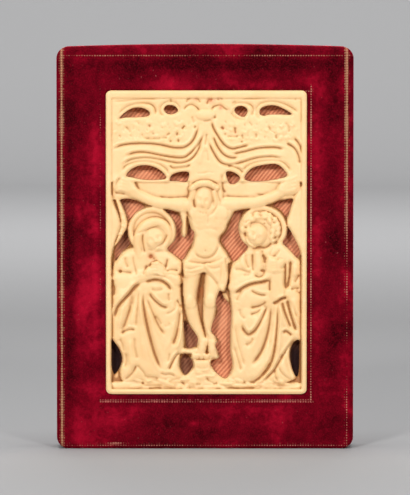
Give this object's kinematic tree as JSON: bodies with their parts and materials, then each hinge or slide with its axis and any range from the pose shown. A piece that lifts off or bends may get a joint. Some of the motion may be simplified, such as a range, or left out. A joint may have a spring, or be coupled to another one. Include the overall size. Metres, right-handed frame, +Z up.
{
  "type": "carved relief plaque",
  "caption": "Pierced and carved ivory relief plaque set in the window of a velvet-covered board, which stands on its lower edge.",
  "frame": {"origin": "middle of the board's underside, centred on the whole depth", "axes": "+Z up, the carved face looks along -Y, +X to the right of a viewer who faces the carving"},
  "size_m": [0.089, 0.018, 0.1213],
  "materials": {
    "velvet": "worn crimson velvet",
    "ivory": "satin, aged ivory",
    "ribbed_cloth": "terracotta ribbed cloth"
  },
  "bodies": {
    "root": {"velvet_mount": "velvet", "ivory_plaque": "ivory", "backing_cloth": "ribbed_cloth"}
  },
  "joints": []
}
